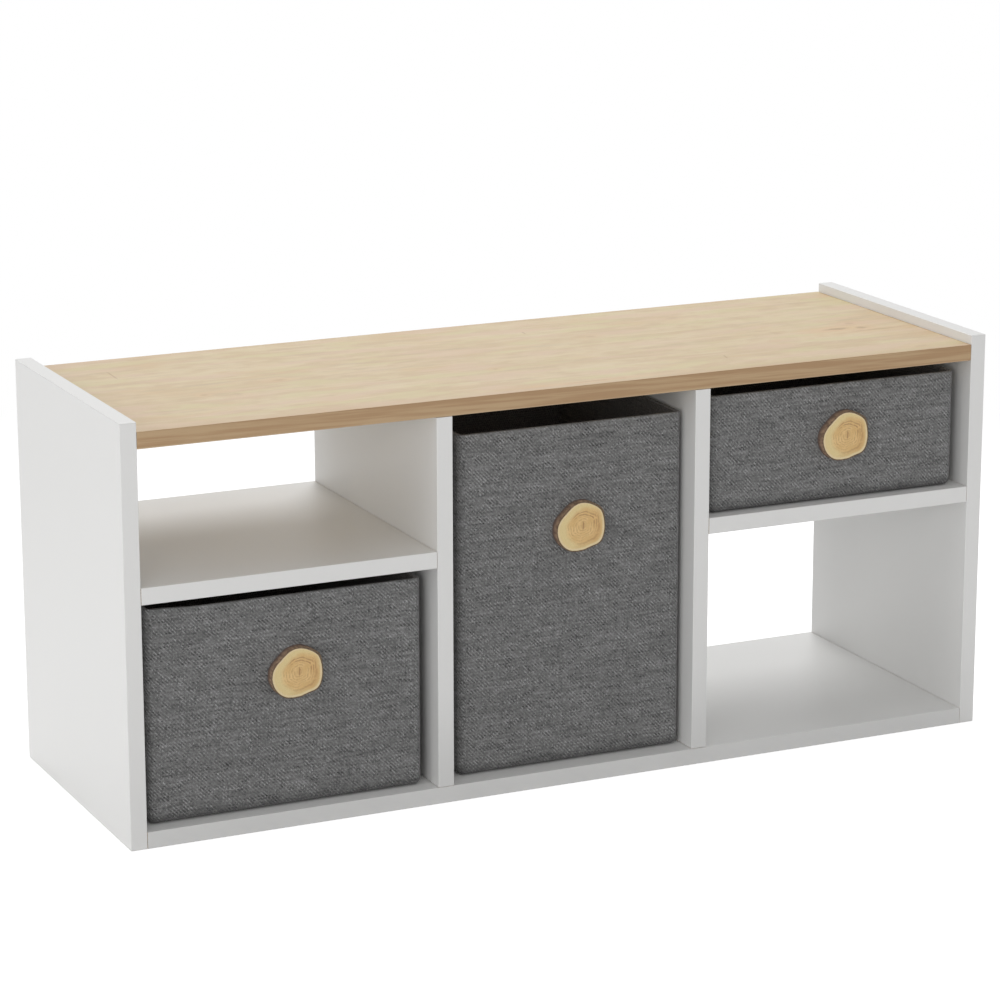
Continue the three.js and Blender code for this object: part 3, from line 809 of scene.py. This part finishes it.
grey_twill = twill()
for number, hand in enumerate(hands):
    low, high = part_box(f"bin_{hand}_cover")
    knob = middle_of(f"bin_{hand}_knob")
    cover = open_box(f"bin_{hand}_twill_cover", low, high, cover_corner, cover_step)

    # The rim: the cloth turns in by a little more than its own thickness
    turn_edge(cover, low, high, cover_corner, rim_width)

    def outer_rim(edge):
        between = on_top(edge, high) and len(edge.link_faces) == 2
        return between and min(abs(face.normal.z) for face in edge.link_faces) < 0.5

    pick(cover, "edges", outer_rim)
    bpy.ops.mesh.bevel(offset=rim_radius, segments=3, profile=0.5, affect="EDGES")
    bpy.ops.object.mode_set(mode="OBJECT")
    lay_cloth(cover, low, high, cover_corner, 0.41 * number)
    ripple(cover, low, high, knob, Vector((3.1, 1.7, 5.3)) * (number + 1))
    if hand == "left":
        settle(cover, low, high)
    write_mark(cover, "above_board", lambda point: point.z - low.z)
    thicken(cover, cover_cloth)
    cover.data.materials.append(grey_twill)
    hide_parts(f"bin_{hand}_cover")
    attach(cover, f"{hand}_bin")


# Card sleeves
# One strip of 2 mm grey board, scored and bent round the four walls between the twill and the
# lining. It keeps the bin square and is seen only where the bin is taken apart.

def grey_board():
    finish = Finish("grey_board", Specular_IOR_Level=0.25)
    where = finish.place()
    x, y, z = where
    pulp = finish.round_cloud(where, 0.004, 4.0)
    fibre = finish.cloud(x / 0.0016, y / 0.0016, z / 0.00022, 2.0)
    shred = finish.cloud(x / 0.0009 + 4.0, y / 0.0009, z / 0.0005, 2.0)
    board = finish.blend(pulp.rise(0.3, 0.7), (0.255, 0.230, 0.195), (0.345, 0.315, 0.270))
    board = finish.blend(shred.rise(0.62, 0.74) * 0.6, board, (0.125, 0.115, 0.105))
    board = finish.shade(board, 0.92 + fibre * 0.16)
    return finish.surface(board, 0.85, fibre * 0.00006 + pulp * 0.00008)


sleeve_board = grey_board()
for hand in hands:
    dress(f"bin_{hand}_card_sleeve", sleeve_board)


# Linings
# Thin black needled felt, glued to the card inside the walls and over the bottom, and turned out
# over the card's upper edge. It is pressed with small dots, and lies a little slack.

lining_corner = 0.0029
lining_step = 0.010
lining_felt = 0.0007
lining_slack = 0.0012
felt_below_rim = 0.0003
dot_pitch = 0.0024
glue_line = 0.00005


def black_felt():
    finish = Finish("black_felt", Specular_IOR_Level=0.15, Sheen_Weight=0.15, Sheen_Roughness=0.5)
    where = finish.place()
    x, y, z = where
    facing = finish.facing()

    # Two coordinates on whichever wall this is, for the rows of pressed dots
    on_floor = abs(facing[2]).above(0.7)
    on_side = abs(facing[0]).above(0.7)
    first = x + (y - x) * on_side
    second = z + (y - z) * on_floor
    row = (second / dot_pitch).floor()
    across = (first / dot_pitch + (row % 2.0) * 0.5) % 1.0 - 0.5
    up = (second / dot_pitch) % 1.0 - 0.5
    dot = ((across * across + up * up) ** 0.5).rise(0.36, 0.18)
    fibre = finish.round_cloud(where, 0.0012, 3.0)
    cloudy = finish.round_cloud(where, 0.025, 2.0)
    felt = finish.blend(fibre.rise(0.35, 0.75), (0.110, 0.099, 0.091), (0.235, 0.214, 0.197))
    felt = finish.shade(felt, (1.0 - dot * 0.35) * (0.85 + cloudy * 0.3))
    return finish.surface(felt, 0.95 - dot * 0.25, fibre * 0.00022 - dot * 0.00025)


needled_felt = black_felt()
for number, hand in enumerate(hands):
    low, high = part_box(f"bin_{hand}_lining")
    knob = middle_of(f"bin_{hand}_knob")
    low = low + Vector((glue_line, glue_line, glue_line))
    high = high - Vector((glue_line, glue_line, 0))
    lining = open_box(f"bin_{hand}_felt_lining", low, high, lining_corner, lining_step)
    bpy.ops.object.mode_set(mode="OBJECT")
    for vert, along, outward in wall_points(lining, low, high, 0.003):
        place = vert.co.copy()
        hold = near(along, 0.003, 0.04) * near(place.z, low.z + 0.006, low.z + 0.04)
        hold *= near(high.z - place.z, 0.0, 0.02)
        if outward.y < 0:
            hold *= near(math.hypot(place.x - knob.x, place.z - knob.z), 0.008, 0.03)
        slack = waves(place, 0.05, 0.08, Vector((number, 2, 7)))
        vert.co = place - outward * hold * lining_slack * (0.5 + 0.5 * slack)

    # Its upper edge rises past the card and turns out over it, as far as the rolled twill
    cover_low, cover_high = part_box(f"bin_{hand}_cover")
    turn_height = cover_high.z - felt_below_rim - lining_felt
    reach_out = low.x - cover_low.x - rim_width - hair
    bpy.ops.object.mode_set(mode="EDIT")
    pick(lining, "edges", lambda edge: on_top(edge, high))
    bpy.ops.mesh.extrude_region_move(TRANSFORM_OT_translate={"value": (0, 0, turn_height - high.z)})
    turn_edge(lining, low, high, lining_corner, -reach_out)
    bpy.ops.object.mode_set(mode="OBJECT")
    if hand == "left":
        settle(lining, cover_low, cover_high)
    thicken(lining, lining_felt)
    lining.data.materials.append(needled_felt)
    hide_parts(f"bin_{hand}_lining")
    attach(lining, f"{hand}_bin")


# Base boards
# A loose 3 mm card panel wrapped in the same felt, dropped in to keep the bottom flat.
# Its wrapped edges are round and its corners clipped soft.

panel_corner = 0.004
panel_edge = 0.0011

for hand in hands:
    low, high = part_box(f"bin_{hand}_base_board")
    base = start_box(f"bin_{hand}_base_panel", low, high)
    pick(base, "edges", lambda edge: abs(edge.verts[0].co.z - edge.verts[1].co.z) > hair)
    bpy.ops.mesh.bevel(offset=panel_corner, segments=4, profile=0.5, affect="EDGES")
    pick(base, "edges", lambda edge: abs(edge.verts[0].co.z - edge.verts[1].co.z) < hair)
    bpy.ops.mesh.bevel(offset=panel_edge, segments=3, profile=0.5, affect="EDGES")
    bpy.ops.object.mode_set(mode="OBJECT")
    bpy.ops.object.shade_smooth_by_angle(angle=math.radians(40))
    base.data.materials.append(needled_felt)
    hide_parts(f"bin_{hand}_base_board")
    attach(base, f"{hand}_bin")


# Knobs
# A 10 mm slice across a small branch with its bark left on: pale sapwood, darker heartwood with
# uneven rings, and a short drying crack through the pith. A screw from inside the bin holds it.

knob_points = [
    (5, 24), (-6, 22), (-16.5, 13.7), (-23.8, 5), (-25.4, -6), (-20.8, -16.6), (-12, -23.2),
    (0.5, -24.1), (11, -21.4), (21, -17.6), (25.2, -8.2), (25.2, 4.4), (22.4, 15.2), (12.4, 22),
]
pith = Vector((2.6, 0.4)) / 1000
branch_half = 0.024
blank_radius = 0.02
branch_sides = 96
face_edge = 0.0009
bark_step = 0.0011
ring_shares = (0.90, 0.78, 0.65, 0.52, 0.40, 0.29, 0.19, 0.10, 0.04)


def bend(before, point, after, gap_before, gap_after):
    """The direction of a smooth curve where it passes a point between two others."""
    return ((point - before) / gap_before - (after - before) / (gap_before + gap_after)
            + (after - point) / gap_after)


def branch_outline():
    """Points of the slice's outline from its pith: a smooth closed curve through the knob's points."""
    points = [Vector(point) / 1000 for point in knob_points]
    count = len(points)
    curve = []
    for index in range(count):
        before, start, end, after = [points[(index + offset) % count] for offset in (-1, 0, 1, 2)]
        gaps = [math.sqrt((b - a).length) for a, b in ((before, start), (start, end), (end, after))]
        leave = bend(before, start, end, gaps[0], gaps[1]) * gaps[1]
        arrive = bend(start, end, after, gaps[1], gaps[2]) * gaps[1]
        for step in range(24):
            t = step / 24
            curve.append(start * (2 * t ** 3 - 3 * t ** 2 + 1) + leave * (t ** 3 - 2 * t ** 2 + t)
                         + end * (3 * t ** 2 - 2 * t ** 3) + arrive * (t ** 3 - t ** 2))
    return [point - pith for point in curve]


outline = branch_outline()
outline_turns = sorted((math.atan2(point.y, point.x), point.length) for point in outline)
outline_turns.insert(0, (outline_turns[-1][0] - 2 * math.pi, outline_turns[-1][1]))
outline_turns.append((outline_turns[1][0] + 2 * math.pi, outline_turns[1][1]))


def branch_radius(angle):
    """How far the slice reaches from its pith in one direction."""
    for (first, first_length), (second, second_length) in zip(outline_turns, outline_turns[1:]):
        if first <= angle <= second:
            share = (angle - first) / max(second - first, 1e-9)
            return first_length + (second_length - first_length) * share
    return outline_turns[0][1]


def from_pith(point, heart):
    """The way across the slice from its pith to a point, and its share of the full radius."""
    across = Vector((point.x - heart.x, 0, point.z - heart.z))
    if across.length < 1e-6:
        return across, 0.0
    return across, across.length / branch_radius(math.atan2(across.z, across.x))


def sliced_wood():
    finish = Finish("sliced_branch", Specular_IOR_Level=0.35)
    flat = finish.split(finish.node("ShaderNodeUVMap", {"uv_map": "slice"}))
    x, z = flat[:2]
    share = finish.mark("ring")
    warp = finish.flat_cloud(flat, 0.009, 0.009, 1.0)
    radius = share * branch_half + (warp - 0.5) * 0.0048
    fine = finish.flat_cloud(flat, 0.0012, 0.0012, 3.0)
    patch = finish.flat_cloud(flat, 0.011, 0.011, 6.0)

    # Rings: each darkens slowly and ends in a thin dark line, broken where the saw smeared it
    year = radius / 0.0024
    within = year % 1.0
    late = within.rise(0.20, 0.90) * within.rise(1.0, 0.93)
    inner = share.rise(0.86, 0.70)
    gap = finish.flat_cloud(flat, 0.0036, 0.0036, 9.0)
    broken = patch.rise(0.34, 0.60) * gap.rise(0.34, 0.60)
    wood = finish.blend(patch.rise(0.3, 0.7), (0.680, 0.445, 0.190), (0.785, 0.550, 0.262))
    wood = finish.blend(late * inner * broken * 0.64, wood, (0.440, 0.245, 0.095))
    close_rings = abs(radius - 0.0114).rise(0.0011, 0.0003) + abs(radius - 0.0143).rise(0.0011, 0.0003)
    close_rings = close_rings * ((z * 0.9 + x * 0.4) / 0.012).rise(0.0, 0.6)
    outer_ring = abs(radius - 0.0172).rise(0.0013, 0.0003)
    outer_ring = outer_ring * ((x * 0.8 - z * 0.6) / 0.012).rise(0.2, 0.9)
    dark_rings = (close_rings + outer_ring) * gap.rise(0.30, 0.48) * 0.80
    wood = finish.blend(dark_rings, wood, (0.430, 0.235, 0.100))

    # The sapwood is pale and wider on the left; a warm stain lies low on the right
    left = (z * 0.10 - x * 0.90) / branch_half
    sap = (share + left * 0.17).rise(0.60, 0.86) + (warp - 0.5) * 0.80 + (gap - 0.5) * 0.30
    wood = finish.blend(sap.lesser(1.0).greater(0.0), wood, (0.750, 0.600, 0.308))
    lean = (x * 0.80 - z * 0.55) / branch_half
    stain = (share * 0.5 + lean * 0.5 + (patch - 0.5) * 0.5).rise(0.40, 0.80) * share.rise(0.92, 0.80)
    wood = finish.blend(stain * 0.60, wood, (0.590, 0.360, 0.150))
    rim_line = (share + (gap - 0.5) * 0.05).rise(0.872, 0.905) * (0.35 + patch * 0.9)
    wood = finish.blend(rim_line * 0.60, wood, (0.800, 0.650, 0.450))
    wood = finish.blend(share.rise(0.20, 0.03) * 0.30, wood, (0.520, 0.300, 0.140))
    wobble = finish.cloud(0.0, z / 0.003, 2.0, 2.0)
    crack = abs(x + (wobble - 0.5) * 0.0014).rise(0.00095, 0.00015) * abs(z).rise(0.0062, 0.0020)
    wood = finish.blend(crack * 0.62, wood, (0.330, 0.170, 0.075))
    ray = finish.flat_cloud(flat, 0.0009, 0.006, 7.0)
    wood = finish.shade(wood, 0.83 + fine * 0.24 + ray * 0.10)

    # The cut edge of the bark, a millimetre thick, ragged inside and thicker at the upper right
    thick = ((x * 0.57 + z * 0.82) / 0.022).rise(0.70, 1.0) * 0.040
    bark_edge = (share + thick + (fine - 0.5) * 0.022 + (gap - 0.5) * 0.020).rise(0.950, 0.964)
    bark = finish.blend(fine.rise(0.35, 0.7), (0.090, 0.062, 0.042), (0.230, 0.160, 0.102))
    colour = finish.blend(bark_edge, wood, bark)
    relief = fine * 0.00004 - late * inner * 0.00005 - crack * 0.0004
    return finish.surface(colour, 0.50 + fine * 0.18 + bark_edge * 0.20, relief)


def branch_bark():
    finish = Finish("branch_bark", Specular_IOR_Level=0.2)
    x, y, z = finish.place()
    plate = finish.cloud(x / 0.0032, y / 0.007, z / 0.0032, 3.0)
    crumb = finish.cloud(x / 0.0009, y / 0.0014, z / 0.0009, 3.0)
    bark = finish.blend(plate.rise(0.35, 0.65), (0.240, 0.160, 0.110), (0.430, 0.290, 0.196))
    bark = finish.blend(crumb.rise(0.60, 0.78) * 0.45, bark, (0.500, 0.375, 0.270))
    # Painted shade: the bark darkens towards its back, where it meets the cloth
    bark = finish.blend(finish.mark("behind").rise(0.30, 0.95) * 0.80, bark, (0.120, 0.088, 0.082))
    return finish.surface(bark, 0.88, plate * 0.0006 + crumb * 0.0002)


slice_wood = sliced_wood()
bark_wood = branch_bark()
shift_x = sum(limit([point.x for point in outline]) for limit in (min, max)) / 2
shift_z = sum(limit([point.y for point in outline]) for limit in (min, max)) / 2
for number, hand in enumerate(hands):
    low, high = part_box(f"bin_{hand}_knob")
    centre = middle_of(f"bin_{hand}_knob")
    heart = Vector((centre.x - shift_x, centre.y, centre.z - shift_z))
    thickness = high.y - low.y

    bpy.ops.object.select_all(action="DESELECT")
    bpy.ops.mesh.primitive_cylinder_add(vertices=branch_sides, radius=blank_radius, depth=thickness,
                                        location=heart, rotation=(math.pi / 2, 0, 0))
    knob = bpy.context.object
    knob.name = f"bin_{hand}_branch_knob"
    knob.data.name = knob.name
    bpy.ops.object.transform_apply(location=True, rotation=True, scale=True)
    for vert in knob.data.vertices:
        angle = math.atan2(vert.co.z - heart.z, vert.co.x - heart.x)
        reach = branch_radius(angle)
        vert.co.x = heart.x + math.cos(angle) * reach
        vert.co.z = heart.z + math.sin(angle) * reach
    bpy.ops.object.mode_set(mode="EDIT")
    slice_at(1, steps_between(low.y + face_edge, high.y - face_edge, bark_step))

    # Both faces grow inwards to the pith in rings, and close there
    for end, facing in ((low.y, -1), (high.y, 1)):
        pick(knob, "faces", lambda face: face.normal.y * facing > 0.9)
        last = 1.0
        for share in ring_shares:
            bpy.ops.mesh.extrude_region_move()
            bpy.ops.transform.resize(value=(share / last, 1, share / last),
                                     center_override=(heart.x, end, heart.z))
            last = share
        bpy.ops.mesh.merge(type="CENTER")

    # The edges of the faces are broken. Between them the bark stands out in low ridges, and it is
    # thicker on the right and below
    mesh = bmesh.from_edit_mesh(knob.data)
    for vert in mesh.verts:
        across, share = from_pith(vert.co, heart)
        if share < 0.999:
            continue
        out = across.normalized()
        ridge = noise.noise(Vector((out.x * 9, vert.co.y / 0.006 + number, out.z * 9)))
        lump = noise.noise(Vector((out.x * 3.2, 4.0, out.z * 3.2)))
        bark_growth = min(max(0.5 + out.x * 0.9 - out.z * 0.5, 0.0), 1.0) * 0.0005
        if min(vert.co.y - low.y, high.y - vert.co.y) < 0.00001:
            vert.co = vert.co + out * (bark_growth - 0.0002)
        else:
            vert.co = vert.co + out * (bark_growth + ridge * 0.00045 + lump * 0.0001 - 0.0003)
    bmesh.update_edit_mesh(knob.data)
    bpy.ops.mesh.select_all(action="SELECT")
    bpy.ops.mesh.normals_make_consistent(inside=False)
    bpy.ops.object.mode_set(mode="OBJECT")

    write_mark(knob, "ring", lambda point: min(from_pith(point, heart)[1], 1.0))
    write_mark(knob, "behind", lambda point: (point.y - low.y) / thickness)
    flat = knob.data.uv_layers[0]
    flat.name = "slice"
    for index, loop in enumerate(knob.data.loops):
        point = knob.data.vertices[loop.vertex_index].co
        flat.data[index].uv = (point.x - heart.x, point.z - heart.z)
    knob.data.materials.append(slice_wood)
    knob.data.materials.append(bark_wood)
    for face in knob.data.polygons:
        corners = [knob.data.vertices[index].co.y for index in face.vertices]
        on_face = max(corners) < low.y + hair or min(corners) > high.y - hair
        face.material_index = 0 if on_face else 1
    bpy.ops.object.shade_smooth_by_angle(angle=math.radians(38))
    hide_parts(f"bin_{hand}_knob")
    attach(knob, f"{hand}_bin")


# Knob screws
# A short wood screw with a wide flanged cross head. The head presses the lining, card and twill
# against the back of the knob.

flanged_head = 0.004
knob_screw_pitch = 0.0018

for hand in hands:
    name = f"bin_{hand}_knob_screw"
    low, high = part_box(name)
    dress(name, threaded_steel(name, "y", (low.y, high.y - flanged_head), knob_screw_pitch))


# Floor, world and lamps
# A white studio: a pale floor that keeps the stand's shadow and fades to plain white further off,
# a white surround, and four large soft lamps: two on the left, one in front and one behind.

floor_grey = 0.80
floor_glow = 0.66
fade_start = 0.75
fade_end = 1.6
surround_light = 0.44
lamp_size = 2.2
lamp_aim = Vector((0, 0, 0.2))


def seen_rays(nodes, links):
    """1 for what the camera sees, straight, in a mirror or through glass, and 0 for other light."""
    paths = nodes.new("ShaderNodeLightPath")
    seen = paths.outputs["Is Camera Ray"]
    for ray in ("Is Glossy Ray", "Is Transmission Ray"):
        either = nodes.new("ShaderNodeMath")
        either.operation = "MAXIMUM"
        links.new(seen, either.inputs[0])
        links.new(paths.outputs[ray], either.inputs[1])
        seen = either.outputs[0]
    return seen


def white_floor():
    finish = Finish("studio_floor", Roughness=0.9, Specular_IOR_Level=0.0)
    finish.give("Base Color", (floor_grey, floor_grey, floor_grey, 1.0))
    finish.give("Emission Color", (1.0, 1.0, 1.0, 1.0))
    seen = Value(finish, seen_rays(finish.nodes, finish.links))
    finish.give("Emission Strength", seen * floor_glow)
    plain_white = finish.nodes.new("ShaderNodeEmission")
    blend = finish.nodes.new("ShaderNodeMixShader")
    output = finish.nodes["Material Output"]
    x, y = finish.place()[:2]
    away = (x * x + y * y) ** 0.5
    finish.wire(blend.inputs[0], away.rise(fade_start, fade_end) * seen)
    finish.links.new(finish.shader.outputs[0], blend.inputs[1])
    finish.links.new(plain_white.outputs[0], blend.inputs[2])
    finish.links.new(blend.outputs[0], output.inputs["Surface"])
    return finish.material


bpy.ops.object.select_all(action="DESELECT")
bpy.ops.mesh.primitive_plane_add(size=14, location=(0, 0, -0.0003))
floor = bpy.context.object
floor.name = "studio_floor"
floor.data.materials.append(white_floor())

surround = bpy.data.worlds.new("white_surround")
bpy.context.scene.world = surround
surround.use_nodes = True
sky = surround.node_tree.nodes
wires = surround.node_tree.links
background = sky["Background"]
background.inputs["Color"].default_value = (1.0, 1.0, 1.0, 1.0)
strength = sky.new("ShaderNodeMapRange")
strength.inputs["To Min"].default_value = surround_light
strength.inputs["To Max"].default_value = 1.0
wires.new(seen_rays(sky, wires), strength.inputs["Value"])
wires.new(strength.outputs["Result"], background.inputs["Strength"])

for lamp_name, spot, power in (
    ("left_lamp", (-4.2, 0.0, 1.5), 35.5),
    ("left_front_lamp", (-3.0, -3.2, 1.2), 33.0),
    ("front_lamp", (0.0, -4.5, 1.4), 26.0),
    ("back_lamp", (1.0, 2.6, 3.7), 80.0),
):
    bpy.ops.object.light_add(type="AREA", location=spot)
    lamp = bpy.context.object
    lamp.name = lamp_name
    lamp.data.shape = "DISK"
    lamp.data.size = lamp_size
    lamp.data.energy = power
    lamp.rotation_euler = (lamp_aim - Vector(spot)).to_track_quat("-Z", "Y").to_euler()

bpy.context.scene.view_settings.view_transform = "Standard"
